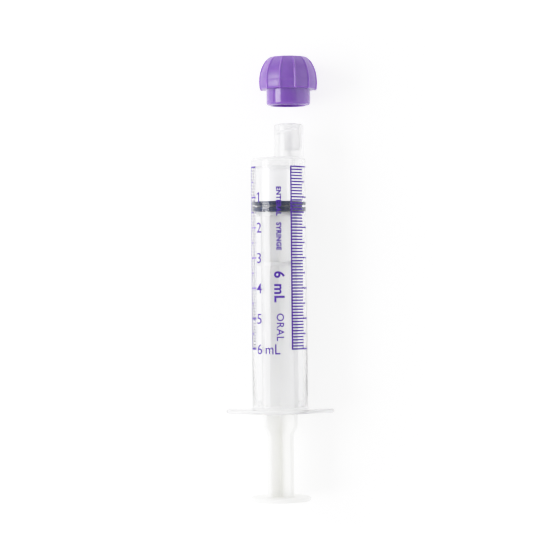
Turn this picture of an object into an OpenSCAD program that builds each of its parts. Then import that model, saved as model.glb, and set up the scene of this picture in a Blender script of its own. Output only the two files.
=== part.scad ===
// Oral syringe with an off-centre female tip, a sealed plunger and a ribbed tip cap.
// It lies on its finger flange: +Y runs along the barrel towards the tip and +Z is up.
// The origin is the bottom centre of the whole assembly's box.

/* [Barrel] */
// Inside diameter of the barrel
bore_d = 12.65; // [10:0.05:16]
// Wall thickness at the tip end
wall = 0.95; // [0.8:0.01:1.6]
// Extra wall at the flange end, which is the mould draft
wall_draft = 0.16; // [0:0.01:0.4]
// Largest volume on the scale, in millilitres
capacity_ml = 6; // [4:1:10]
// Volume in the barrel at rest, in millilitres
drawn_ml = 1.13; // [0.2:0.01:3]
// Distance from the largest mark to the flange
mark_to_flange = 15.9; // [10:0.1:25]
// Thickness of the closed end
end_wall = 2.4; // [1.6:0.1:4]
// Radius round the edge of the closed end
shoulder_r = 1.0; // [0.4:0.1:1.5]
// Height of the ring that keeps the seal in the barrel
ring_h = 0.2; // [0.1:0.02:0.3]

/* [Finger flange] */
// How far each wing reaches past the side of the barrel
wing_reach = 6.85; // [5:0.05:10]
// How far the two flats stand out past the barrel
flat_lip = 0.95; // [0.6:0.05:2]
// Width of each flat
flat_w = 7.0; // [4:0.2:10]
// Radius of each wing's end
wing_end_r = 4.0; // [3:0.1:5]
// Thickness of the flange
flange_t = 1.2; // [0.8:0.05:2]

/* [Tip] */
// Outside diameter of the tip's collar
tip_d = 7.85; // [7.5:0.05:10]
// Length of the collar past the closed end
tip_len = 8.9; // [8:0.1:12]
// Gap between the side of the collar and the side of the barrel
tip_step = 0.55; // [0.4:0.05:2]
// Diameter of the socket's mouth
mouth_d = 5.7; // [5.4:0.05:6]
// Depth of the mouth, down to the seat
mouth_depth = 2.7; // [2:0.1:3.5]
// Diameter of the seat below the mouth
seat_d = 5.3; // [5:0.05:5.35]
// Depth of the whole socket
socket_depth = 7.0; // [6:0.1:7.6]
// Outside diameter of the low-dose nozzle inside the socket
nozzle_d = 2.2; // [1.8:0.05:2.6]
// How far the nozzle's end lies below the collar's rim
nozzle_recess = 2.9; // [2.6:0.1:4]
// Diameter of the fluid path
lumen_d = 1.1; // [0.8:0.05:1.4]
// Height of the two thread lugs
lug_h = 0.3; // [0.2:0.02:0.4]
// Distance from the rim to the middle of a lug
lug_set_back = 1.7; // [1.5:0.05:2.5]
// Travel in one turn of the thread
thread_lead = 5.0; // [4:0.1:6]

/* [Seal] */
// Length of the front sealing rib
front_rib = 1.15; // [0.9:0.05:1.6]
// Width of the groove between the ribs
groove_w = 0.35; // [0.25:0.05:0.8]
// Length of the rear sealing rib
rear_rib = 1.3; // [1.1:0.05:1.8]
// Depth of the groove between the ribs
groove_depth = 0.6; // [0.3:0.05:1]
// Gap between the sealing ribs and the bore
seal_clearance = 0.03; // [0.02:0.01:0.08]

/* [Plunger rod] */
// Thickness of the four ribs
rib_t = 1.5; // [1:0.05:2]
// Gap between the ribs and the barrel's inner ring
rib_clearance = 0.28; // [0.15:0.01:0.6]
// How far the ribs step in at the grip
step_in = 1.54; // [0.6:0.02:2]
// Length of the narrow grip
grip_len = 16.2; // [10:0.1:24]
// Length of the slope from the grip to the full width
step_len = 2.8; // [1.5:0.1:5]
// Distance from the seal to the guide disc
guide_gap = 13.2; // [6:0.1:25]
// Thickness of the guide disc and of the disc behind the seal
disc_t = 1.0; // [0.6:0.05:1.6]
// Diameter of the thumb disc
thumb_d = 16.0; // [13:0.2:22]
// Thickness of the thumb disc
thumb_t = 1.2; // [1:0.05:2.4]
// Gap between the flange and the thumb disc with the plunger pushed home
thumb_gap = 13.0; // [8:0.2:20]
// Diameter of the head that the seal snaps over
head_d = 6.4; // [5.6:0.1:7.4]
// Diameter of the neck below the head
neck_d = 4.4; // [3.4:0.1:5]
// Gap between the head and the seal
head_clearance = 0.06; // [0.03:0.01:0.1]

/* [Tip cap] */
// Gap between the collar's rim and the cap's mouth at rest
cap_gap = 4.8; // [1:0.1:20]
// Gap between the thread lugs and the cap's wall
cap_clearance = 0.3; // [0.2:0.02:0.6]
// Wall of the skirt
skirt_wall = 1.28; // [0.8:0.02:2]
// Length of the skirt below the dome
skirt_len = 4.25; // [3:0.05:6]
// How far the dome overhangs the skirt
dome_overhang = 1.95; // [1:0.05:3]
// Height of the dome
dome_h = 8.6; // [7.6:0.1:11]
// Height of the dome's straight band
band_h = 2.2; // [1.5:0.1:3]
// Number of ribs on the dome
dome_ribs = 12; // [8:2:16]
// Thickness of a rib on the dome
dome_rib_t = 0.45; // [0.3:0.05:0.8]
// How far a rib stands out
dome_rib_h = 0.22; // [0.1:0.02:0.5]
// Depth of the cap's bore above the skirt
bore_in_dome = 3.5; // [3:0.1:4]
// Length of the sealing plug in the cap
plug_len = 6.0; // [4.5:0.1:6.2]
// Gap between the plug and the tip's seat
plug_clearance = 0.1; // [0.05:0.01:0.2]

/* [Hidden] */

$fn = 96;
overlap = 0.01;          // how far a cut runs past the face it opens
embed = 0.3;             // how deep a thread ridge is rooted in its wall
zero_gap = 0.2;          // from the zero mark to the closed end's inner face
mouth_chamfer = 0.5;     // chamfer at the barrel's open end
ring_w = 1.2;            // length of the ring that keeps the seal in
ring_at = 1.6;           // from the open end to the middle of that ring
root_fillet = 0.5;       // between the barrel and the flange
rim_r = 0.6;             // round on the collar's rim
seal_edge_r = 0.25;      // round on the sealing ribs
thumb_edge_r = 0.45;     // round on the thumb disc
skirt_edge_r = 0.8;      // round on the cap's mouth
top_edge_r = 0.4;        // round on the cap's flat top
plug_bore_gap = 0.35;    // between the nozzle and the plug's bore
seal_skin = 0.8;         // rubber in front of the rod's head
head_len = 0.95;         // length of the rod's head
dome_stretch = 1.06;     // height of the dome's ellipse over its radius
dome_turn = 13.6;        // turn of the dome's ribs about the axis
lug_w = 0.85;            // width of a thread lug at its root
lug_crest = 0.45;        // width of a thread lug at its crest
lug_start = -137;        // where the first lug starts, from local +X
lug_sweep = 84;          // how far round a lug runs
ridge_gap = 8;           // free angle between a lug and a cap ridge
ridge_h = 0.4;           // height of the cap's thread ridges
ridge_below = 1.5;       // how far the ridges sit below the lugs when seated

// Barrel, measured along the axis from the flange's front face
bore_r = bore_d / 2;
tip_end_r = bore_r + wall;
flange_end_r = tip_end_r + wall_draft;
mm_per_ml = 1000 / (PI * bore_r * bore_r);
mark_zero = mark_to_flange + capacity_ml * mm_per_ml;
bore_end = mark_zero + zero_gap;
barrel_end = bore_end + end_wall;
ring_r = bore_r - ring_h;
flange_h = 2 * (flange_end_r + flat_lip);
wing_x = flange_end_r + wing_reach - wing_end_r;

// Tip
tip_r = tip_d / 2;
tip_x = tip_end_r - tip_r - tip_step;
tip_end = barrel_end + tip_len;
socket_floor = tip_end - socket_depth;
lug_mid = tip_end - lug_set_back;

// Seal and rod
seal_r = bore_r - seal_clearance;
seal_len = front_rib + groove_w + rear_rib;
seal_front = mark_zero - drawn_ml * mm_per_ml;
seal_back = seal_front - seal_len;
head_top = seal_front - seal_skin - head_clearance;
head_base = head_top - head_len;
rib_r = ring_r - rib_clearance;
grip_r = rib_r - step_in;
thumb_front = -flange_t - thumb_gap - (mark_zero - seal_front);
thumb_back = thumb_front - thumb_t;
disc_front = seal_back - head_clearance;

// Cap, measured from its dome's lower face
cap_bore_r = tip_r + lug_h + cap_clearance;
skirt_r = cap_bore_r + skirt_wall;
dome_r = skirt_r + dome_overhang;
plug_r = seat_d / 2 - plug_clearance;
plug_bore_r = nozzle_d / 2 + plug_bore_gap;
cap_at = tip_end + cap_gap + skirt_len;
ridge_mid = bore_in_dome - lug_set_back - ridge_below;
cap_top = cap_at + dome_h;

// Place of the whole assembly
rest_z = max(flange_h / 2, thumb_d / 2, dome_r + dome_rib_h);
mid_y = (thumb_back + cap_top) / 2;

// Points of an arc about [cx, cy]
function arc(cx, cy, r, from, to, steps = 8) =
    [for (i = [0:steps]) let (a = from + (to - from) * i / steps) [cx + r * cos(a), cy + r * sin(a)]];

// Share of full height along a ridge, which fades out at both ends
function fade(i, steps) = min(1, (i + 0.4) / 3, (steps - i + 0.4) / 3);

// Lays a part that is drawn along +Z down along +Y, with local -Y up
module lay_down() {
    translate([0, -mid_y, rest_z]) rotate([-90, 0, 0]) children();
}

// Helical ridge from root radius to crest radius, centred on z = mid
module ridge(root, crest, mid, start, sweep, steps = 14) {
    points = [
        for (i = [0:steps])
            let (
                a = start + sweep * i / steps,
                z = mid + thread_lead * (sweep / 360) * (i / steps - 0.5),
                c = root + (crest - root) * fade(i, steps),
                section = [[root, -lug_w / 2], [c, -lug_crest / 2], [c, lug_crest / 2], [root, lug_w / 2]]
            )
            for (p = section) [p[0] * cos(a), p[0] * sin(a), z + p[1]]
    ];
    sides = [
        for (i = [0:steps - 1], k = [0:3])
            let (a = 4 * i + k, b = 4 * i + (k + 1) % 4)
            each [[a, a + 4, b], [b, a + 4, b + 4]]
    ];
    ends = [[0, 1, 2], [0, 2, 3], [4 * steps + 2, 4 * steps + 1, 4 * steps], [4 * steps + 3, 4 * steps + 2, 4 * steps]];
    outward = crest > root;
    faces = concat(sides, ends);
    polyhedron(points, outward ? faces : [for (f = faces) [f[2], f[1], f[0]]]);
}

// ---- barrel ----

module flange_outline() {
    reach = [wing_x - flat_w / 2, -flange_h / 2];
    turn = atan2(reach[1], reach[0]) + asin(wing_end_r / norm(reach));
    touch = [wing_x - wing_end_r * sin(turn), wing_end_r * cos(turn)];
    half = [[flat_w / 2, flange_h / 2], touch, [touch[0], -touch[1]], [flat_w / 2, -flange_h / 2]];
    polygon(concat(half, [for (i = [3:-1:0]) [-half[i][0], half[i][1]]]));
    for (side = [-1, 1]) translate([side * wing_x, 0]) circle(wing_end_r);
}

module barrel_tube() {
    rotate_extrude() polygon(concat(
        [[0, -flange_t], [flange_end_r, -flange_t], [flange_end_r, 0]],
        [[flange_end_r + root_fillet, 0]],
        arc(flange_end_r + root_fillet, root_fillet, root_fillet, 270, 180, 5),
        arc(tip_end_r - shoulder_r, barrel_end - shoulder_r, shoulder_r, 0, 90),
        [[0, barrel_end]]
    ));
}

module barrel_bore() {
    lip = -flange_t;
    ring = lip + ring_at;
    rotate_extrude() polygon([
        [0, lip - overlap],
        [bore_r + mouth_chamfer + overlap, lip - overlap],
        [bore_r, lip + mouth_chamfer],
        [bore_r, ring - ring_w / 2],
        [ring_r, ring - ring_w / 4],
        [ring_r, ring + ring_w / 4],
        [bore_r, ring + ring_w / 2],
        [bore_r, bore_end],
        [0, bore_end]
    ]);
}

module tip_collar() {
    rotate_extrude() polygon(concat(
        [[0, barrel_end - end_wall / 2], [tip_r, barrel_end - end_wall / 2]],
        arc(tip_r - rim_r, tip_end - rim_r, rim_r, 0, 90, 6),
        [[0, tip_end]]
    ));
    for (turn = [0, 180])
        rotate(turn) ridge(tip_r - embed, tip_r + lug_h, lug_mid, lug_start, lug_sweep);
}

module tip_socket() {
    difference() {
        union() {
            translate([0, 0, tip_end - mouth_depth]) cylinder(d = mouth_d, h = mouth_depth + overlap);
            translate([0, 0, socket_floor]) cylinder(d = seat_d, h = socket_depth - mouth_depth + overlap);
        }
        translate([0, 0, socket_floor - overlap])
            cylinder(d = nozzle_d, h = socket_depth - nozzle_recess + overlap);
    }
    translate([0, 0, bore_end - overlap]) cylinder(d = lumen_d, h = tip_end - bore_end);
}

module barrel() {
    color([0.93, 0.95, 0.96, 0.4]) difference() {
        union() {
            barrel_tube();
            translate([0, 0, -flange_t]) linear_extrude(flange_t) flange_outline();
            translate([tip_x, 0, 0]) tip_collar();
        }
        barrel_bore();
        translate([tip_x, 0, 0]) tip_socket();
    }
}

// ---- seal ----

module sealing_rib(back, front) {
    edge_x = seal_r - seal_edge_r;
    rotate_extrude() polygon(concat(
        [[0, back]],
        arc(edge_x, back + seal_edge_r, seal_edge_r, -90, 0, 5),
        arc(edge_x, front - seal_edge_r, seal_edge_r, 0, 90, 5),
        [[0, front]]
    ));
}

module piston_seal() {
    color([0.16, 0.19, 0.25]) difference() {
        union() {
            sealing_rib(seal_back, seal_back + rear_rib);
            sealing_rib(seal_front - front_rib, seal_front);
            translate([0, 0, seal_back + rear_rib / 2])
                cylinder(r = seal_r - groove_depth, h = seal_len - rear_rib / 2 - front_rib / 2);
        }
        translate([0, 0, head_base - head_clearance])
            cylinder(d = head_d + 2 * head_clearance, h = head_len + 2 * head_clearance);
        translate([0, 0, seal_back - overlap])
            cylinder(d = neck_d + 2 * head_clearance, h = head_base - seal_back);
    }
}

// ---- plunger rod ----

// Outline of one pair of ribs, from the thumb disc to the disc behind the seal
module rib_plate() {
    grip_end = thumb_front + grip_len;
    slope = [
        for (i = [0:8])
            let (s = i / 8)
            [grip_r + step_in * s * s * (3 - 2 * s), grip_end + step_len * s]
    ];
    right = concat([[grip_r, thumb_front - thumb_t / 2]], slope, [[rib_r, disc_front - disc_t / 2]]);
    rotate([90, 0, 0]) translate([0, 0, -rib_t / 2]) linear_extrude(rib_t)
        polygon(concat(right, [for (i = [len(right) - 1:-1:0]) [-right[i][0], right[i][1]]]));
}

module thumb_disc() {
    edge_r = min(thumb_edge_r, thumb_t / 2 - overlap);
    rotate_extrude() polygon(concat(
        [[0, thumb_back]],
        arc(thumb_d / 2 - edge_r, thumb_back + edge_r, edge_r, -90, 0, 5),
        arc(thumb_d / 2 - edge_r, thumb_front - edge_r, edge_r, 0, 90, 5),
        [[0, thumb_front]]
    ));
}

module plunger_rod() {
    color([0.94, 0.95, 0.92, 0.6]) union() {
        thumb_disc();
        for (turn = [45, 135]) rotate(turn) rib_plate();
        for (top = [disc_front, seal_back - guide_gap])
            translate([0, 0, top - disc_t]) cylinder(r = rib_r, h = disc_t);
        translate([0, 0, disc_front - disc_t / 2])
            cylinder(d = neck_d, h = head_base - disc_front + disc_t);
        translate([0, 0, head_base]) cylinder(d = head_d, h = head_len);
    }
}

// ---- tip cap ----

// Height against radius of the dome, swollen by extra
function dome_profile(extra) =
    let (
        r = dome_r + extra,
        tall = dome_r * dome_stretch + extra,
        top = dome_h - top_edge_r / 2 + extra / 2,
        top_a = asin((top - band_h) / tall)
    )
    concat(
        [[0, 0], [r - 0.2, 0], [r, band_h / 2]],
        [for (i = [0:12]) let (a = top_a * i / 12) [r * cos(a), band_h + tall * sin(a)]],
        [[r * cos(top_a) - top_edge_r, dome_h + extra / 2], [0, dome_h + extra / 2]]
    );

module dome_ribs() {
    intersection() {
        rotate_extrude() polygon(dome_profile(dome_rib_h));
        union() {
            for (i = [0:dome_ribs / 2 - 1])
                rotate(i * 360 / dome_ribs)
                    translate([-2 * dome_r, -dome_rib_t / 2, 0])
                        cube([4 * dome_r, dome_rib_t, dome_h]);
        }
    }
}

module tip_cap() {
    mouth = -skirt_len;
    color([0.55, 0.42, 0.74]) translate([tip_x, 0, cap_at]) difference() {
        union() {
            rotate(dome_turn) {
                rotate_extrude($fn = dome_ribs) polygon(dome_profile(0));
                dome_ribs();
            }
            rotate_extrude() polygon(concat(
                [[0, mouth]],
                arc(skirt_r - skirt_edge_r, mouth + skirt_edge_r, skirt_edge_r, -90, 0, 6),
                [[skirt_r, band_h / 2], [0, band_h / 2]]
            ));
        }
        difference() {
            translate([0, 0, mouth - overlap]) cylinder(r = cap_bore_r, h = bore_in_dome - mouth + overlap);
            translate([0, 0, bore_in_dome - plug_len]) difference() {
                cylinder(r = plug_r, h = plug_len + overlap);
                translate([0, 0, -overlap]) cylinder(r = plug_bore_r, h = plug_len);
            }
            for (turn = [0, 180])
                rotate(turn)
                    ridge(
                        cap_bore_r + embed, cap_bore_r - ridge_h, ridge_mid,
                        lug_start + lug_sweep + ridge_gap, 180 - lug_sweep - 2 * ridge_gap
                    );
        }
    }
}

lay_down() barrel();
lay_down() piston_seal();
lay_down() plunger_rod();
lay_down() tip_cap();
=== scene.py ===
import math

import bmesh
import bpy
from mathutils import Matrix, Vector


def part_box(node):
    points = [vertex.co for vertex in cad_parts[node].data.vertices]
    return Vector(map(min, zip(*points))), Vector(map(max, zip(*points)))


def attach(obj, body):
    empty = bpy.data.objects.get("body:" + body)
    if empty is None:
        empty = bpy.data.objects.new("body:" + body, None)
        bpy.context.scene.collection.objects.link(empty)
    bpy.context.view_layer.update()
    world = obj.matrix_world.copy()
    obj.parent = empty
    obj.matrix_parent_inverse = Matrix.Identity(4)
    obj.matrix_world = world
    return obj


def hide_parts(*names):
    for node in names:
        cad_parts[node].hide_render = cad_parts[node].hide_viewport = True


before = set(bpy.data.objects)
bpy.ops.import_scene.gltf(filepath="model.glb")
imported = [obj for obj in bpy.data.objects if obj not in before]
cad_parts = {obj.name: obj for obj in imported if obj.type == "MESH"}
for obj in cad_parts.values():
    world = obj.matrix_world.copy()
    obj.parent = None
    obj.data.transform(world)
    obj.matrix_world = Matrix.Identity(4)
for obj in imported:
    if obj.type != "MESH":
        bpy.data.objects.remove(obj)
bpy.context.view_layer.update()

# ---- Sizes -----------------------------------------------------------------------
# Lengths are in millimetres and angles in degrees. Lengths are measured along the
# barrel from the flange's front face, and out from the barrel's axis. The cap's own
# are measured along from the underside of its dome.

MM = 0.001
WELD = 0.4  # how far the parts of the rod's moulding reach into each other
BARREL_LOW, BARREL_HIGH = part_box("barrel")
SEAL_LOW, SEAL_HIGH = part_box("piston_seal")
ROD_LOW, ROD_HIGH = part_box("plunger_rod")
CAP_LOW, CAP_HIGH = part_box("tip_cap")

FLANGE_T = 1.2
FLANGE_FACE = BARREL_LOW[1] + FLANGE_T * MM
AXIS_Z = (BARREL_LOW[2] + BARREL_HIGH[2]) / 2


def along(row_y):
    """Distance along the barrel of a row-frame y."""
    return (row_y - FLANGE_FACE) / MM


# Barrel and flange
BORE_R = 6.325
TIP_END_R = 7.275
FLANGE_END_R = 7.435
SHOULDER_R = 1.0
COLLAR_L = 8.9
END_WALL = 2.4
ZERO_GAP = 0.2
TIP_END = along(BARREL_HIGH[1])
BARREL_END = TIP_END - COLLAR_L
BORE_END = BARREL_END - END_WALL
MARK_ZERO = BORE_END - ZERO_GAP
MM_PER_ML = 1000 / (math.pi * BORE_R**2)
CAPACITY_ML = 6
RING_H = 0.2  # the ring inside the open end, which keeps the seal in
RING_AT = 1.6
FLANGE_FILLET = 0.5
FLANGE_EDGE = 0.42
FLAT_LIP = 0.95
FLAT_W = 7.0
FLAT_EASE = 1.6
WING_REACH = 6.85
WING_END_R = 4.0
WING_X = FLANGE_END_R + WING_REACH - WING_END_R

# Tip
TIP_R = 3.925
TIP_EDGE = 0.7
TIP_STEP = 0.55
TIP_X = TIP_END_R - TIP_R - TIP_STEP
SOCKET_MOUTH_R = 3.0
SOCKET_R = 2.85
SOCKET_BACK_R = 2.65
SOCKET_DEPTH = 7.0
NOZZLE_R = 1.1
NOZZLE_DOWN = 2.9
FLUID_R = 0.55
LUG_H = 0.3
LUG_DOWN = 1.7
LUG_START = -47
LUG_SWEEP = 84
THREAD_LEAD = 5.0

# Seal and rod
SEAL_SQUEEZE = 0.02  # the seal is drawn pressed against the wall
SEAL_R = BORE_R + SEAL_SQUEEZE
SEAL_BACK, SEAL_FRONT = along(SEAL_LOW[1]), along(SEAL_HIGH[1])
SEAL_GAP = 0.06
RIB_T = 1.5
ROD_GAP = 0.28
RIB_R = BORE_R - RING_H - ROD_GAP
GRIP_STEP = 1.54
GRIP_R = RIB_R - GRIP_STEP
GRIP_L = 16.2
GRIP_STEP_L = 2.8
THUMB_R = 8.0
THUMB_T = 1.2
THUMB_EDGE = 0.42
THUMB_BACK = along(ROD_LOW[1])
THUMB_FRONT = THUMB_BACK + THUMB_T
DISC_T = 1.0
DISC_EDGE = 0.2
DISC_FRONT = SEAL_BACK - SEAL_GAP
GUIDE_DOWN = 13.2
GUIDE_FRONT = SEAL_BACK - GUIDE_DOWN
NECK_R = 2.2
HEAD_R = 3.2
HEAD_T = 0.95
HEAD_TOP = along(ROD_HIGH[1])

# Cap
DOME_H = 8.6
BAND_H = 2.2
CAP_AT = along(CAP_HIGH[1]) - DOME_H
CAP_MOUTH = along(CAP_LOW[1])
LUG_GAP = 0.3
CAP_BORE_R = TIP_R + LUG_H + LUG_GAP
SKIRT_WALL = 1.28
SKIRT_R = CAP_BORE_R + SKIRT_WALL
SKIRT_EDGE = 0.8
DOME_LEDGE = 1.95
DOME_R = SKIRT_R + DOME_LEDGE
CAP_FLOOR = 3.5
PLUG_L = 6.0
PLUG_R = 2.55
PLUG_BORE_R = 1.45
RIDGE_H = 0.4
RIDGE_UP = 0.3
RIDGE_START = 45
RIDGE_SWEEP = 80


def spot(x, s, h):
    """Row-frame point from across, along and out-towards-the-top, in millimetres."""
    return Vector((x * MM, FLANGE_FACE + s * MM, AXIS_Z + h * MM))


# ---- Mesh tools ------------------------------------------------------------------


def arc(cr, cs, r, start, end, steps=6):
    """Points of an arc in an outline of (radius, along) points, angles in degrees."""
    turn = [math.radians(start + (end - start) * i / steps) for i in range(steps + 1)]
    return [(cr + r * math.cos(a), cs + r * math.sin(a)) for a in turn]


def rounded_rim(radius, back, front, edge, steps):
    """Outline of a disc's rim with both of its edges rounded."""
    low = arc(radius - edge, back + edge, edge, -90, 0, steps)
    return low + arc(radius - edge, front - edge, edge, 0, 90, steps)


def ring_round(x, r, s, turns):
    """Ring of points round the line at x. A ring with no radius is one point."""
    if r < 1e-4:
        return [spot(x, s, 0)]
    return [spot(x + r * math.sin(t), s, r * math.cos(t)) for t in turns]


def skin(bm, rings, closed=True):
    """Joins rings of points with faces. A ring of one point is a pole. If the rings
    don't close on themselves, the first and the last are filled in."""
    made = [[bm.verts.new(p) for p in ring] for ring in rings]
    pairs = list(zip(made, made[1:]))
    if closed:
        pairs.append((made[-1], made[0]))
    for a, b in pairs:
        for i in range(max(len(a), len(b))):
            j = (i + 1) % max(len(a), len(b))
            if len(a) == 1 and len(b) == 1:
                continue
            if len(a) == 1:
                bm.faces.new((a[0], b[j], b[i]))
            elif len(b) == 1:
                bm.faces.new((a[i], a[j], b[0]))
            else:
                bm.faces.new((a[i], a[j], b[j], b[i]))
    if not closed:
        bm.faces.new(made[0])
        bm.faces.new(list(reversed(made[-1])))


def closed_mesh(name, bm):
    """Mesh object with its faces turned outwards."""
    bmesh.ops.recalc_face_normals(bm, faces=bm.faces)
    mesh = bpy.data.meshes.new(name)
    bm.to_mesh(mesh)
    bm.free()
    obj = bpy.data.objects.new(name, mesh)
    bpy.context.collection.objects.link(obj)
    return obj


def turned(name, outline, x=0.0, steps=192):
    """Solid turned about the line at x from an outline of (radius, along) points."""
    turns = [math.tau * i / steps for i in range(steps)]
    bm = bmesh.new()
    skin(bm, [ring_round(x, r, s, turns) for r, s in outline])
    return closed_mesh(name, bm)


def welded(base, adds=(), cuts=()):
    """Base with other closed solids welded to it or cut out of it."""
    tools = [(obj, "UNION") for obj in adds] + [(obj, "DIFFERENCE") for obj in cuts]
    for obj, operation in tools:
        step = base.modifiers.new(obj.name, "BOOLEAN")
        step.operation = operation
        step.solver = "MANIFOLD"
        step.object = obj
    depsgraph = bpy.context.evaluated_depsgraph_get()
    result = bpy.data.meshes.new_from_object(base.evaluated_get(depsgraph))
    base.modifiers.clear()
    old, base.data = base.data, result
    result.name = base.name
    bpy.data.meshes.remove(old)
    for obj, _ in tools:
        bpy.data.meshes.remove(obj.data)
    return base


def smooth(obj, sharp_over=32):
    """Smooth shading, with creases where faces meet at more than this angle."""
    obj.data.shade_smooth()
    obj.data.set_sharp_from_angle(angle=math.radians(sharp_over))
    return obj


# ---- Materials -------------------------------------------------------------------


def linear(hex_colour):
    """sRGB hex colour as linear RGBA."""
    parts = [int(hex_colour[i : i + 2], 16) / 255 for i in (1, 3, 5)]
    return [c / 12.92 if c <= 0.04045 else ((c + 0.055) / 1.055) ** 2.4 for c in parts] + [1.0]


def add_node(tree, kind, settings=None, values=None, links=None):
    """Adds a node, with its properties, its socket values and its incoming links."""
    node = tree.nodes.new(kind)
    for key, value in (settings or {}).items():
        setattr(node, key, value)
    for key, value in (values or {}).items():
        node.inputs[key].default_value = value
    for key, source in (links or {}).items():
        tree.links.new(source, node.inputs[key])
    return node


def new_material(name, values):
    """Principled material with these fixed values. Gives the material, tree and shader."""
    material = bpy.data.materials.new(name)
    material.use_nodes = True
    tree = material.node_tree
    shader = tree.nodes["Principled BSDF"]
    for key, value in values.items():
        shader.inputs[key].default_value = value
    return material, tree, shader


def grain(tree, size_mm, detail=2.0, stretch=(1, 1, 1)):
    """Noise whose lumps are this size on the object, longer where stretch is small."""
    place = add_node(tree, "ShaderNodeTexCoord")
    scaled = add_node(
        tree,
        "ShaderNodeMapping",
        values={"Scale": stretch},
        links={"Vector": place.outputs["Object"]},
    )
    noise = add_node(
        tree,
        "ShaderNodeTexNoise",
        values={"Scale": 1 / (size_mm * MM), "Detail": detail, "Roughness": 0.55},
        links={"Vector": scaled.outputs["Vector"]},
    )
    return noise.outputs["Fac"]


def ramp(tree, source, low, high, from_low=0.3, from_high=0.7):
    """A value spread between low and high. Noise lies mostly between 0.3 and 0.7."""
    spread = add_node(
        tree,
        "ShaderNodeMapRange",
        values={"From Min": from_low, "From Max": from_high, "To Min": low, "To Max": high},
        links={"Value": source},
    )
    return spread.outputs["Result"]


def along_ramp(tree, low, high, s_from, s_to):
    """A value that goes from low to high between two distances along the barrel."""
    place = add_node(tree, "ShaderNodeTexCoord")
    split = add_node(tree, "ShaderNodeSeparateXYZ", links={"Vector": place.outputs["Object"]})
    return ramp(tree, split.outputs["Y"], low, high, spot(0, s_from, 0).y, spot(0, s_to, 0).y)


def two_tones(tree, shader, share, first, second):
    """Surface colour between two tones, by the share of the second."""
    colour = add_node(
        tree,
        "ShaderNodeMix",
        {"data_type": "RGBA"},
        values={"A": linear(first), "B": linear(second)},
        links={"Factor": share},
    )
    tree.links.new(colour.outputs["Result"], shader.inputs["Base Color"])


def bumps(tree, shader, source, depth_mm):
    """Raises the surface by a noise value."""
    bump = add_node(
        tree,
        "ShaderNodeBump",
        values={"Strength": 1.0, "Distance": depth_mm * MM},
        links={"Height": source},
    )
    tree.links.new(bump.outputs["Normal"], shader.inputs["Normal"])


# Where the barrel turns milky: clear here, milkiest there, and by how much. The first
# two are for the end wall and the tip, and the others for the tube's foot and the flange.
MILKY_STRETCHES = [
    (BORE_END - 9, BORE_END, 0.03),
    (BORE_END - 1, BARREL_END, 0.27),
    (16.0, 2.0, 0.07),
    (1.5, 0.2, 0.23),
]


def clear_polypropylene():
    """Clarified polypropylene, injection moulded: see-through, with slow flow ripples
    that bend the light. The barrel's tool is polished, so its skin has a crisp
    highlight. The tip and the flange are thicker and cool more slowly, so they are
    milky. The index of refraction is set lower than the plastic's own 1.49, which
    would draw the edges too dark, and a faint sheen softens the outline."""
    material, tree, shader = new_material(
        "clear_polypropylene",
        {
            "Base Color": linear("#FDFDFE"),
            "IOR": 1.32,
            "Coat Weight": 0.7,
            "Coat Roughness": 0.03,
            "Coat IOR": 1.45,
            "Sheen Weight": 0.14,
            "Sheen Roughness": 0.6,
        },
    )
    milky = None
    for clear_at, milky_at, amount in MILKY_STRETCHES:
        part = along_ramp(tree, 0.0, amount, clear_at, milky_at)
        if milky:
            both = add_node(tree, "ShaderNodeMath", {"operation": "ADD"}, links={0: milky, 1: part})
            part = both.outputs["Value"]
        milky = part
    clearest = 0.994
    see_through = add_node(
        tree, "ShaderNodeMath", {"operation": "SUBTRACT"}, values={0: clearest}, links={1: milky}
    )
    tree.links.new(see_through.outputs["Value"], shader.inputs["Transmission Weight"])
    rough_where_milky = 0.25
    rough = add_node(
        tree,
        "ShaderNodeMath",
        {"operation": "MULTIPLY_ADD"},
        values={1: rough_where_milky},
        links={0: milky, 2: ramp(tree, grain(tree, 1.2), 0.06, 0.08)},
    )
    tree.links.new(rough.outputs["Value"], shader.inputs["Roughness"])
    bumps(tree, shader, grain(tree, 6.0, stretch=(1, 0.25, 1)), 0.015)
    return material


def natural_polypropylene():
    """Natural polypropylene, injection moulded with thicker ribs: milkier than the
    barrel, faintly warm, with a satin skin. Light sinks well into it."""
    material, tree, shader = new_material(
        "natural_polypropylene",
        {
            "IOR": 1.49,
            "Subsurface Weight": 1.0,
            "Subsurface Radius": (1.0, 1.0, 0.95),
            "Subsurface Scale": 4.5 * MM,
        },
    )
    # The end that stands in the barrel at rest is set whiter than the grip, to make up
    # for the light that is lost in the barrel's walls.
    outside, inside = -6.0, 4.0
    in_barrel = along_ramp(tree, 0.0, 1.0, outside, inside)
    two_tones(tree, shader, in_barrel, "#E2E2DF", "#FFFFFD")
    tree.links.new(ramp(tree, grain(tree, 2.5), 0.42, 0.46), shader.inputs["Roughness"])
    bumps(tree, shader, grain(tree, 4.0, stretch=(1, 0.3, 1)), 0.02)
    return material


def seal_rubber():
    """Dark synthetic rubber, compression moulded and lubricated: blue-black and satin,
    with a fine mottle."""
    material, tree, shader = new_material("seal_rubber", {"IOR": 1.52, "Specular IOR Level": 0.15})
    mottle = grain(tree, 0.5, detail=4.0)
    two_tones(tree, shader, ramp(tree, mottle, 0.0, 1.0), "#051B42", "#07204A")
    tree.links.new(ramp(tree, mottle, 0.3, 0.36), shader.inputs["Roughness"])
    return material


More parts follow.
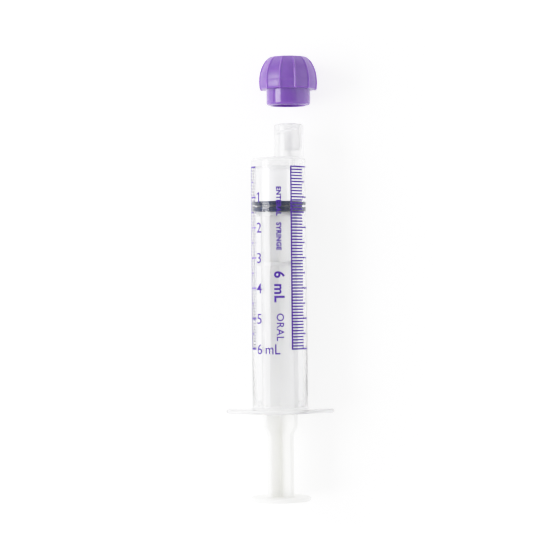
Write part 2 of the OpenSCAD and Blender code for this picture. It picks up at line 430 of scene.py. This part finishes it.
def purple_polyethylene():
    """Purple polyethylene, injection moulded. The dome is spark-eroded, so it is satin
    with a fine grain, and the skirt is polished. Light sinks in a little way."""
    material, tree, shader = new_material(
        "purple_polyethylene",
        {
            "IOR": 1.51,
            "Specular IOR Level": 0.65,
            "Subsurface Weight": 1.0,
            "Subsurface Radius": (1.0, 0.45, 0.95),
            "Subsurface Scale": 1.2 * MM,
        },
    )
    two_tones(tree, shader, ramp(tree, grain(tree, 3.0), 0.0, 1.0), "#7045A1", "#774DA8")
    # The grain of the spark-eroded dome stops at the skirt.
    on_dome = along_ramp(tree, 0.0, 1.0, CAP_AT - 0.2, CAP_AT)
    tree.links.new(ramp(tree, on_dome, 0.08, 0.34, 0.0, 1.0), shader.inputs["Roughness"])
    erosion = grain(tree, 0.22, detail=3.0)
    depth = add_node(
        tree, "ShaderNodeMath", {"operation": "MULTIPLY"}, links={0: erosion, 1: on_dome}
    )
    bumps(tree, shader, depth.outputs["Value"], 0.02)
    return material


def scale_ink():
    """Violet pad-printing ink: satin, slightly uneven in strength, and so thin that a
    little light comes through it."""
    material, tree, shader = new_material(
        "scale_ink",
        {"IOR": 1.5, "Roughness": 0.5, "Specular IOR Level": 0.25, "Transmission Weight": 0.3},
    )
    patch = grain(tree, 0.35, detail=3.0)
    two_tones(tree, shader, ramp(tree, patch, 0.0, 1.0), "#43169A", "#4E1FA8")
    return material


def opal_acrylic():
    """Opal acrylic sheet of a light table, evenly lit from inside: a white floor on
    which shadows stay faint. It has a barely visible cloudiness."""
    material, tree, shader = new_material(
        "opal_acrylic",
        {
            "Roughness": 0.8,
            "Specular IOR Level": 0.2,
            "Emission Color": (1, 1, 1, 1),
            "Emission Strength": 0.6,
        },
    )
    two_tones(tree, shader, ramp(tree, grain(tree, 40.0), 0.0, 1.0), "#EBEBEB", "#EFEFEF")
    return material


# ---- Barrel ----------------------------------------------------------------------


def barrel_radius(s):
    """Outside radius of the barrel, which is wider at the flange by the mould draft."""
    share = max(0.0, min(1.0, s / (BARREL_END - SHOULDER_R)))
    return FLANGE_END_R + (TIP_END_R - FLANGE_END_R) * share


def eased_corner(before, corner, after, cut, steps=5):
    """Points that round a corner of an outline."""
    before, corner, after = Vector(before), Vector(corner), Vector(after)
    start = corner + (before - corner).normalized() * cut
    end = corner + (after - corner).normalized() * cut
    points = []
    for i in range(steps + 1):
        t = i / steps
        points.append(start * (1 - t) ** 2 + corner * 2 * t * (1 - t) + end * t**2)
    return [tuple(p) for p in points]


def flange_outline():
    """Outline of the finger flange, from the middle of its top flat clockwise."""
    half_h = FLANGE_END_R + FLAT_LIP
    reach = Vector((WING_X - FLAT_W / 2, -half_h))
    turn = math.atan2(reach.y, reach.x) + math.asin(WING_END_R / reach.length)
    touch = (WING_X - WING_END_R * math.sin(turn), WING_END_R * math.cos(turn))
    corner = (FLAT_W / 2, half_h)
    top_right = eased_corner((0, half_h), corner, touch, FLAT_EASE)
    swing = math.degrees(math.atan2(touch[1], touch[0] - WING_X))
    wing = arc(WING_X, 0, WING_END_R, swing, -swing, 32)
    right = top_right + wing + [(x, -h) for x, h in reversed(top_right)]
    return right + [(-x, h) for x, h in reversed(right)]


def flange_plate():
    """The flange, with its edges rounded all the way round."""
    outline = [Vector(p) for p in flange_outline()]
    count = len(outline)
    inward = []
    for i in range(count):
        edge = (outline[(i + 1) % count] - outline[i - 1]).normalized()
        inward.append(Vector((edge.y, -edge.x)))
    levels = []
    for a in (0.0, 0.4, 0.8, 1.2, math.pi / 2):
        levels.append((FLANGE_EDGE * (1 - math.cos(a)), FLANGE_EDGE * (1 - math.sin(a))))
    profile = [(inset, -FLANGE_T + depth) for inset, depth in reversed(levels)]
    profile += [(inset, -depth) for inset, depth in levels]
    rings = []
    for inset, s in profile:
        drawn_in = [p + n * inset for p, n in zip(outline, inward)]
        rings.append([spot(p.x, s, p.y) for p in drawn_in])
    bm = bmesh.new()
    skin(bm, rings, closed=False)
    return closed_mesh("flange_plate", bm)


# Half of the section of a thread lug or ridge: (share of its width, share of its height).
LUG_SIDE = [(-0.5, 0.0), (-0.36, 0.45), (-0.22, 0.85), (-0.08, 1.0)]


def thread_lug(name, x, root, height, middle, start, sweep, width=0.85, steps=40):
    """Rounded helical ridge on a wall of this radius. It stands inwards if height is
    negative, and fades out at both ends."""
    section = LUG_SIDE + [(-w, up) for w, up in reversed(LUG_SIDE)]
    sink = -0.3 if height > 0 else 0.3
    fade_steps = 7
    rings = []
    for i in range(steps + 1):
        t = math.radians(start + sweep * i / steps)
        from_end = min(i + 0.5, steps - i + 0.5, fade_steps) / fade_steps
        fade = math.sin(from_end * math.pi / 2)
        s = middle + THREAD_LEAD * (sweep / 360) * (i / steps - 0.5)
        points = [(root + sink, -0.5 * width)]
        points += [(root + height * fade * up, w * width) for w, up in section]
        points.append((root + sink, 0.5 * width))
        rings.append([spot(x + r * math.sin(t), s + ds, r * math.cos(t)) for r, ds in points])
    bm = bmesh.new()
    skin(bm, rings, closed=False)
    return closed_mesh(name, bm)


def barrel_tube():
    """Solid outside of the tube, flared into the flange and rounded at the shoulder."""
    flare = FLANGE_END_R + FLANGE_FILLET
    root = -FLANGE_T / 2
    outline = [(0, root), (flare, root), (flare, -0.05)]
    outline += arc(flare, FLANGE_FILLET, FLANGE_FILLET, 270, 180)
    outline += arc(TIP_END_R - SHOULDER_R, BARREL_END - SHOULDER_R, SHOULDER_R, 0, 90, 8)
    return turned("barrel_body", outline + [(0, BARREL_END)], steps=256)


def tip_collar():
    """Solid outside of the tip, set into the end wall."""
    root = BARREL_END - END_WALL / 2
    outline = [(0, root), (TIP_R, root), (TIP_R, TIP_END - TIP_EDGE)]
    outline += arc(TIP_R - TIP_EDGE, TIP_END - TIP_EDGE, TIP_EDGE, 10, 90, 7)
    return turned("collar", outline + [(0, TIP_END)], x=TIP_X)


def bore_core():
    """What is cut out for the seal: a flared mouth, the ring that keeps the seal in,
    and the bore."""
    mouth = -FLANGE_T
    ring = mouth + RING_AT
    ring_side = [(BORE_R, -0.6), (BORE_R - 0.08, -0.4), (BORE_R - RING_H, -0.12)]
    corner = 0.25
    outline = [(0, mouth - 0.3), (BORE_R + 0.75, mouth - 0.3)]
    outline += [(BORE_R + 0.45, mouth), (BORE_R + 0.05, mouth + 0.5)]
    outline += [(r, ring + ds) for r, ds in ring_side]
    outline += [(r, ring - ds) for r, ds in reversed(ring_side)]
    outline += arc(BORE_R - corner, BORE_END - corner, corner, 0, 90, 4)
    return turned("bore", outline + [(0, BORE_END)], steps=256)


def socket_core():
    """What is cut out of the tip: the socket round the nozzle, and the fluid path."""
    chamfer = 0.3
    step = TIP_END - NOZZLE_DOWN
    floor = TIP_END - SOCKET_DEPTH
    corner, foot, rim = 0.25, 0.2, 0.15
    outline = [(0, TIP_END + chamfer), (SOCKET_MOUTH_R + chamfer / 2, TIP_END + chamfer)]
    outline += [(SOCKET_MOUTH_R, TIP_END), (SOCKET_R, TIP_END - chamfer)]
    outline += [(SOCKET_R, step + 0.2), (SOCKET_BACK_R, step)]
    outline += arc(SOCKET_BACK_R - corner, floor + corner, corner, 0, -90, 4)
    outline += arc(NOZZLE_R + foot, floor + foot, foot, 270, 180, 4)
    outline += arc(NOZZLE_R - rim, step - rim, rim, 0, 90, 3)
    outline += [(FLUID_R, step), (FLUID_R, BORE_END - 0.3), (0, BORE_END - 0.3)]
    return turned("socket", outline, x=TIP_X)


def barrel_solid():
    """Tube, flange, collar and lugs as one clear moulding, with the bore and the
    socket cut out of it."""
    middle = TIP_END - LUG_DOWN
    lugs = [
        thread_lug(f"lug_{turn}", TIP_X, TIP_R, LUG_H, middle, LUG_START + turn, LUG_SWEEP)
        for turn in (0, 180)
    ]
    adds = [flange_plate(), tip_collar()] + lugs
    barrel = welded(barrel_tube(), adds=adds, cuts=[bore_core(), socket_core()])
    barrel.name = barrel.data.name = "barrel_moulding"
    return smooth(barrel)


# ---- Printed scale ---------------------------------------------------------------
# Angles are in degrees round the barrel, from the top, towards +X.

INK_LIFT = 0.004
INK_T = 0.02
MARKS = {"minor": 58.3, "half": 67.5, "whole": 78.0}  # where each kind of mark ends
MARK_T = 0.42
LADDER_LINE = 26.6
LADDER_LINE_W = 0.44
LADDER_TURN = -133.1  # from the right-hand scale to the left-hand one
FIGURE_H = 2.65
FIGURE_TURN = MARKS["whole"] + LADDER_TURN + 2.0
UNIT_TURN = -31.5
STRIP_W = 0.25

# The lettering that reads down the barrel: name, text, height of its capitals, angle
# of its foot, where it starts, weight and spacing.
WORDS = [
    ("volume_figure", "6", 2.6, -9.5, 36.3, 0.03, 1.0),
    ("volume_unit", "mL", 2.6, -9.5, 33.0, 0.03, 1.1),
    ("kind_words", "ENTERAL", 1.25, -4.6, 58.4, 0.05, 1.1),
    ("name_words", "SYRINGE", 1.25, -4.6, 49.0, 0.05, 1.1),
    ("use_words", "ORAL", 1.85, -5.5, 25.3, 0.014, 1.1),
]


def on_wall(angle, s, lift):
    """Point on the barrel's wall, this far above it."""
    r = barrel_radius(s) + lift
    a = math.radians(angle)
    return spot(r * math.sin(a), s, r * math.cos(a))


def ink_bar(bm, angle_from, angle_to, s_from, s_to):
    """Curved patch of ink between two angles and two distances along the barrel."""
    steps = max(2, math.ceil(abs(angle_to - angle_from) / 2))
    corners = [(s_from, INK_LIFT), (s_to, INK_LIFT), (s_to, INK_T), (s_from, INK_T)]
    rings = []
    for i in range(steps + 1):
        angle = angle_from + (angle_to - angle_from) * i / steps
        rings.append([on_wall(angle, s, lift) for s, lift in corners])
    skin(bm, rings, closed=False)


def mark_at(volume):
    """Distance along the barrel of a volume on the scale."""
    return MARK_ZERO - volume * MM_PER_ML


def scale_ladder(name, turn):
    """Upright line with a mark every tenth of a millilitre."""
    bm = bmesh.new()
    line = LADDER_LINE + turn
    half_line = math.degrees(LADDER_LINE_W / 2 / TIP_END_R)
    low = mark_at(CAPACITY_ML) - MARK_T / 2
    ink_bar(bm, line - half_line, line + half_line, low, mark_at(0) + MARK_T / 2)
    for tenth in range(CAPACITY_ML * 10 + 1):
        kind = "whole" if tenth % 10 == 0 else "half" if tenth % 5 == 0 else "minor"
        middle = mark_at(tenth / 10)
        ink_bar(bm, line, MARKS[kind] + turn, middle - MARK_T / 2, middle + MARK_T / 2)
    return closed_mesh(name, bm)


def letter_shapes(text, height, weight=0.0, spacing=1.0, squeeze=1.0):
    """Flat mesh of a line of lettering, its capitals this high, from its left end."""
    made = []
    for words in ("H", text):
        curve = bpy.data.curves.new("lettering", "FONT")
        curve.body = words
        curve.space_character = spacing
        curve.offset = weight
        curve.resolution_u = 4
        obj = bpy.data.objects.new("lettering", curve)
        bpy.context.collection.objects.link(obj)
        depsgraph = bpy.context.evaluated_depsgraph_get()
        mesh = bpy.data.meshes.new_from_object(obj.evaluated_get(depsgraph))
        bpy.data.curves.remove(curve)
        made.append(mesh)
    capital, mesh = made
    top = max(v.co.y for v in capital.vertices)
    bm = bmesh.new()
    bm.from_mesh(mesh)
    bmesh.ops.scale(bm, vec=(squeeze * height / top, height / top, 1), verts=bm.verts)
    bmesh.ops.remove_doubles(bm, verts=bm.verts, dist=1e-4)
    if text == "1":
        # The plain stroke of this lettering's 1 is given a flag.
        left = min(v.co.x for v in bm.verts)
        flag = [(0.02, 0.85), (-0.2, 0.66), (-0.2, 0.8), (0.02, 1.0)]
        bm.faces.new([bm.verts.new((left + x * height, y * height, 0)) for x, y in flag])
    for unused in made:
        bpy.data.meshes.remove(unused)
    return bm


def printed_line(name, text, height, angle, s, downwards=False, **style):
    """Line of lettering wrapped on the barrel. It starts at this angle and distance,
    and reads across, or down towards the flange."""
    flat = letter_shapes(text, height, **style)
    # The letters are cut into narrow strips, so that they bend with the wall.
    axis = 1 if downwards else 0
    normal = (0, 1, 0) if downwards else (1, 0, 0)
    high = max(v.co[axis] for v in flat.verts)
    cut = min(v.co[axis] for v in flat.verts) + STRIP_W
    while cut < high:
        parts = flat.verts[:] + flat.edges[:] + flat.faces[:]
        bmesh.ops.bisect_plane(flat, geom=parts, plane_co=[cut * n for n in normal], plane_no=normal)
        cut += STRIP_W
    bmesh.ops.solidify(flat, geom=flat.faces[:], thickness=INK_T - INK_LIFT)
    base = min(v.co.z for v in flat.verts)
    per_mm = math.degrees(1 / TIP_END_R)
    for v in flat.verts:
        u, w, lift = v.co.x, v.co.y, INK_LIFT + v.co.z - base
        if downwards:
            v.co = on_wall(angle + w * per_mm, s - u, lift)
        else:
            v.co = on_wall(angle + u * per_mm, s + w, lift)
    return closed_mesh(name, flat)


def printing():
    """Every printed piece on the barrel."""
    pieces = [scale_ladder("scale_right", 0), scale_ladder("scale_left", LADDER_TURN)]
    for volume in range(1, CAPACITY_ML + 1):
        low = mark_at(volume) - FIGURE_H / 2
        pieces.append(
            printed_line(f"figure_{volume}", str(volume), FIGURE_H, FIGURE_TURN, low, weight=0.012)
        )
    low = mark_at(CAPACITY_ML) - FIGURE_H / 2
    pieces.append(
        printed_line("figure_unit", "mL", FIGURE_H, UNIT_TURN, low, weight=0.006, squeeze=0.86)
    )
    for name, text, height, angle, s, weight, spacing in WORDS:
        pieces.append(
            printed_line(name, text, height, angle, s, True, weight=weight, spacing=spacing)
        )
    return pieces


# ---- Seal ------------------------------------------------------------------------


def seal_solid():
    """Two sealing ribs with a groove between them, and the pocket for the rod's head."""
    edge = 0.22
    rear_top = SEAL_BACK + 1.35
    front_low = SEAL_FRONT - 1.2
    waist = SEAL_R - 0.6
    face = SEAL_FRONT - 0.02
    pocket_r, neck_r = HEAD_R + SEAL_GAP, NECK_R + SEAL_GAP
    pocket_top, pocket_low = HEAD_TOP + SEAL_GAP, HEAD_TOP - HEAD_T - SEAL_GAP
    outline = rounded_rim(SEAL_R, SEAL_BACK, rear_top, edge, 5)
    outline += [(waist + 0.1, rear_top), (waist, rear_top + 0.06)]
    outline += [(waist, front_low - 0.06), (waist + 0.1, front_low)]
    outline += rounded_rim(SEAL_R, front_low, SEAL_FRONT, edge, 5)
    outline += [(2.0, face), (0, face)]
    outline += [(0, pocket_top), (pocket_r, pocket_top), (pocket_r, pocket_low)]
    outline += [(neck_r, pocket_low), (neck_r, SEAL_BACK)]
    return smooth(turned("seal_moulding", outline, steps=256))


# ---- Plunger rod -----------------------------------------------------------------


def cross_section(reach):
    """Points of the X-shaped section, its ribs this long, with rounded roots and tips."""
    half = RIB_T / 2
    root, tip = 0.55, 0.16
    quarter = arc(reach - tip, half - tip, tip, 0, 90, 3)
    quarter += arc(half + root, half + root, root, 270, 180, 5)
    quarter += arc(half - tip, reach - tip, tip, 0, 90, 3)
    points = []
    for turn in range(4):
        a = math.pi / 2 * turn + math.pi / 4
        for x, y in quarter:
            points.append((x * math.cos(a) - y * math.sin(a), x * math.sin(a) + y * math.cos(a)))
    return points


def rod_ribs():
    """The four ribs, narrow at the grip, with a smooth step to their full width."""
    grip_end = THUMB_FRONT + GRIP_L
    stations = [(THUMB_FRONT - WELD, GRIP_R)]
    step_parts = 12
    for i in range(step_parts + 1):
        t = i / step_parts
        stations.append((grip_end + GRIP_STEP_L * t, GRIP_R + (RIB_R - GRIP_R) * t * t * (3 - 2 * t)))
    stations.append((DISC_FRONT - DISC_T / 2, RIB_R))
    bm = bmesh.new()
    skin(bm, [[spot(x, s, h) for x, h in cross_section(reach)] for s, reach in stations], closed=False)
    return closed_mesh("rod_ribs", bm)


def rod_disc(name, radius, back, front, edge, steps):
    """Flat disc across the rod, with rounded edges."""
    return turned(name, [(0, back)] + rounded_rim(radius, back, front, edge, steps) + [(0, front)])


def rod_head():
    """Neck and head that hold the seal."""
    neck_root = DISC_FRONT - WELD
    head_low = HEAD_TOP - HEAD_T
    outline = [(0, neck_root), (NECK_R, neck_root), (NECK_R, head_low)]
    outline += [(HEAD_R - 0.15, head_low), (HEAD_R, head_low + 0.15)]
    outline += [(HEAD_R, HEAD_TOP - 0.25), (HEAD_R - 0.25, HEAD_TOP), (0, HEAD_TOP)]
    return turned("rod_head", outline, steps=96)


def rod_solid():
    """Ribs, discs, neck and head as one moulding."""
    thumb = rod_disc("thumb_disc", THUMB_R, THUMB_BACK, THUMB_FRONT, THUMB_EDGE, 6)
    discs = [
        rod_disc(name, RIB_R, front - DISC_T, front, DISC_EDGE, 4)
        for name, front in (("seal_disc", DISC_FRONT), ("guide_disc", GUIDE_FRONT))
    ]
    rod = welded(rod_ribs(), adds=[thumb] + discs + [rod_head()])
    rod.name = rod.data.name = "rod_moulding"
    return smooth(rod, 38)


# ---- Cap -------------------------------------------------------------------------

DOME_RIBS = 12
DOME_TURN = 13.6
DOME_RIB_H = 0.2
DOME_RIB_W = 0.56
DOME_RIB_FOOT = DOME_RIB_W / 2 * 1.35  # half of its width where it meets the panels
PANEL_FLATNESS = 0.5  # 0 is round, and 1 is flat from rib to rib
MOULD_STEP = 0.06


def cap_turns():
    """Angles round the cap, closer together at each rib."""
    offsets = [0, 0.5, 1.0, 1.45, 1.9, 2.4, 3.2, 4.5, 6.5, 9.0, 12.0]
    pitch = 360 / DOME_RIBS
    offsets += [pitch / 2] + [pitch - o for o in reversed(offsets[1:])]
    return [math.radians(DOME_TURN + pitch * i + o) for i in range(DOME_RIBS) for o in offsets]


def cap_inside(mouth):
    """(radius, along) points of the hollow plug and the bore, out to the mouth."""
    plug_end = CAP_FLOOR - PLUG_L
    points = [(0, CAP_FLOOR), (PLUG_BORE_R - 0.15, CAP_FLOOR), (PLUG_BORE_R, CAP_FLOOR - 0.15)]
    points += [(PLUG_BORE_R, plug_end + 0.15), (PLUG_BORE_R + 0.15, plug_end)]
    points += [(PLUG_R - 0.25, plug_end), (PLUG_R, plug_end + 0.3)]
    points += [(PLUG_R, CAP_FLOOR - 0.2), (PLUG_R + 0.2, CAP_FLOOR)]
    points += [(CAP_BORE_R - 0.2, CAP_FLOOR), (CAP_BORE_R, CAP_FLOOR - 0.2)]
    return points + [(CAP_BORE_R, mouth + 0.35), (CAP_BORE_R + 0.3, mouth)]


def cap_skirt(mouth):
    """(radius, along) points of the skirt, from the mouth up to the dome's underside."""
    points = arc(SKIRT_R - SKIRT_EDGE, mouth + SKIRT_EDGE, SKIRT_EDGE, -90, 0, 8)
    return points + [(SKIRT_R, -0.2), (SKIRT_R + 0.06, -0.06), (SKIRT_R + 0.2, 0)]


def dome_outline():
    """(radius, along, share of rib height) points of the dome, from its underside up."""
    points = [(SKIRT_R + 0.9, 0.0, 0.0), (DOME_R - 0.5, 0.0, 0.6), (DOME_R - 0.28, 0.07, 0.9)]
    points += [(DOME_R - 0.16, 0.24, 1.0), (DOME_R - 0.06, BAND_H * 0.5, 1.0)]
    points.append((DOME_R - 0.01, BAND_H * 0.96, 1.0))
    # A fine step marks where the two halves of the dome's mould meet.
    above_r = DOME_R - MOULD_STEP
    points.append((above_r, BAND_H + 0.03, 1.0))
    tall = DOME_R * 1.06
    top_angle = math.asin((DOME_H - 0.2 - BAND_H) / tall)
    steps = 18
    for i in range(1, steps + 1):
        a = top_angle * i / steps
        fade = min(1.0, 0.2 + (steps - i) * 0.2)
        points.append((above_r * math.cos(a), BAND_H + tall * math.sin(a), fade))
    top_r = above_r * math.cos(top_angle)
    points += [(top_r - 0.12, DOME_H - 0.08, 0.1), (top_r - 0.3, DOME_H - 0.02, 0.0)]
    return points + [(top_r - 1.6, DOME_H, 0.0), (1.5, DOME_H, 0.0)]


def panelled_ring(r, s, rib, out, turns):
    """Ring of points round the dome: nearly flat panels, with a rib where they meet.
    Out is the way out of the surface, as (out, along)."""
    pitch = math.tau / DOME_RIBS
    ring = []
    for t in turns:
        from_panel = (t - math.radians(DOME_TURN)) % pitch - pitch / 2
        flat = (math.cos(pitch / 2) / math.cos(from_panel)) ** PANEL_FLATNESS
        from_rib = (pitch / 2 - abs(from_panel)) * r
        rise = max(0.0, 1 - from_rib / DOME_RIB_FOOT)
        lift = DOME_RIB_H * rib * rise * rise * (3 - 2 * rise)
        ring += ring_round(TIP_X, r * flat + out.x * lift, CAP_AT + s + out.y * lift, [t])
    return ring


def cap_solid():
    """Ribbed dome, skirt, bore and hollow plug as one moulding."""
    mouth = CAP_MOUTH - CAP_AT
    turns = cap_turns()
    outline = [(r, s, None) for r, s in cap_inside(mouth) + cap_skirt(mouth)]
    outline += dome_outline() + [(0, DOME_H, None)]
    rings = []
    for i, (r, s, rib) in enumerate(outline):
        if rib is None:
            rings.append(ring_round(TIP_X, r, CAP_AT + s, turns))
        else:
            before, after = outline[i - 1], outline[i + 1]
            out = Vector((after[1] - before[1], before[0] - after[0])).normalized()
            rings.append(panelled_ring(r, s, rib, out, turns))
    bm = bmesh.new()
    skin(bm, rings)
    cap = closed_mesh("cap_moulding", bm)
    middle = CAP_AT + RIDGE_UP
    ridges = [
        thread_lug(f"ridge_{turn}", TIP_X, CAP_BORE_R, -RIDGE_H, middle, RIDGE_START + turn, RIDGE_SWEEP)
        for turn in (0, 180)
    ]
    return smooth(welded(cap, adds=ridges), 34)


# ---- Assembly --------------------------------------------------------------------


def place_piece(obj, body, material, stands_for=()):
    """Gives a piece its material and its body, and hides the CAD nodes that it stands for."""
    obj.data.materials.clear()
    obj.data.materials.append(material)
    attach(obj, body)
    if stands_for:
        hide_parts(*stands_for)


place_piece(barrel_solid(), "barrel", clear_polypropylene(), ["barrel"])
place_piece(seal_solid(), "piston", seal_rubber(), ["piston_seal"])
place_piece(rod_solid(), "plunger", natural_polypropylene(), ["plunger_rod"])
place_piece(cap_solid(), "cap", purple_polyethylene(), ["tip_cap"])
ink = scale_ink()
for printed in printing():
    place_piece(printed, "barrel", ink)

# ---- Floor, light and camera -----------------------------------------------------
# The places and sizes of the lights are in metres.


def white_board():
    """Floor under the object, big enough to be seen from every side."""
    bm = bmesh.new()
    half = 3.0
    bmesh.ops.create_grid(bm, x_segments=12, y_segments=12, size=half)
    board = closed_mesh("white_board", bm)
    board.data.materials.append(opal_acrylic())


def softbox(name, place, width, height, strength):
    """Rectangular studio light that faces the object. Strength is its surface
    brightness, where a fully lit white board is about 1."""
    light = bpy.data.lights.new(name, "AREA")
    light.shape = "RECTANGLE"
    light.size, light.size_y = width, height
    light.energy = strength * math.pi * width * height
    obj = bpy.data.objects.new(name, light)
    bpy.context.collection.objects.link(obj)
    obj.location = place
    to_object = Vector((0, 0, 0)) - Vector(place)
    obj.rotation_euler = to_object.to_track_quat("-Z", "X").to_euler()
    obj.visible_camera = False


def light_tent():
    """Pale tent all round, with a darker hole overhead where the camera looks in."""
    tent_level, tent_edge = 0.93, 0.84
    hole_level, hole_edge = 0.45, 0.96
    world = bpy.data.worlds.new("studio")
    bpy.context.scene.world = world
    world.use_nodes = True
    tree = world.node_tree
    shade = tree.nodes["Background"]
    place = add_node(tree, "ShaderNodeTexCoord")
    split = add_node(tree, "ShaderNodeSeparateXYZ", links={"Vector": place.outputs["Generated"]})
    level = add_node(
        tree,
        "ShaderNodeMapRange",
        {"interpolation_type": "SMOOTHSTEP"},
        values={
            "From Min": tent_edge,
            "From Max": hole_edge,
            "To Min": tent_level,
            "To Max": hole_level,
        },
        links={"Value": split.outputs["Z"]},
    )
    tree.links.new(level.outputs["Result"], shade.inputs["Strength"])
    shade.inputs["Color"].default_value = (1, 1, 1, 1)


def film_response(settings):
    """Tone curve that is straight in the dark half and rolls off softly to white."""
    brightest = 2.0
    levels = [(0.2, 0.2), (0.5, 0.49), (0.75, 0.69), (1.0, 0.83)]  # (light, shown)
    levels += [(1.25, 0.92), (1.45, 0.97), (1.65, 1.0)]
    settings.use_curve_mapping = True
    mapping = settings.curve_mapping
    mapping.white_level = (brightest,) * 3
    curve = mapping.curves[3]
    for light, shown in levels:
        curve.points.new(light / brightest, shown)
    mapping.update()


def overhead_camera():
    """Long lens straight above the object, turned a little out of square."""
    camera = bpy.data.cameras.new("camera")
    camera.sensor_width = 36
    camera.lens = 136.3
    camera.clip_start, camera.clip_end = 0.01, 20
    viewer = bpy.data.objects.new("camera", camera)
    bpy.context.collection.objects.link(viewer)
    height = 0.560
    viewer.location = (0.2 * MM, -0.25 * MM, AXIS_Z + height)
    viewer.rotation_euler = (0, 0, math.radians(-0.495))
    return viewer


white_board()
light_tent()
softbox("key_softbox", place=(-1.16, 0.0, 0.76), width=0.74, height=1.22, strength=6.3)
softbox("fill_card", place=(1.3, 0.0, 0.55), width=1.2, height=2.0, strength=0.7)

scene = bpy.context.scene
scene.camera = overhead_camera()
scene.view_settings.view_transform = "Standard"
film_response(scene.view_settings)
# Light crosses many thin clear walls on its way through the barrel and back.
scene.cycles.max_bounces = 32
scene.cycles.transmission_bounces = 32
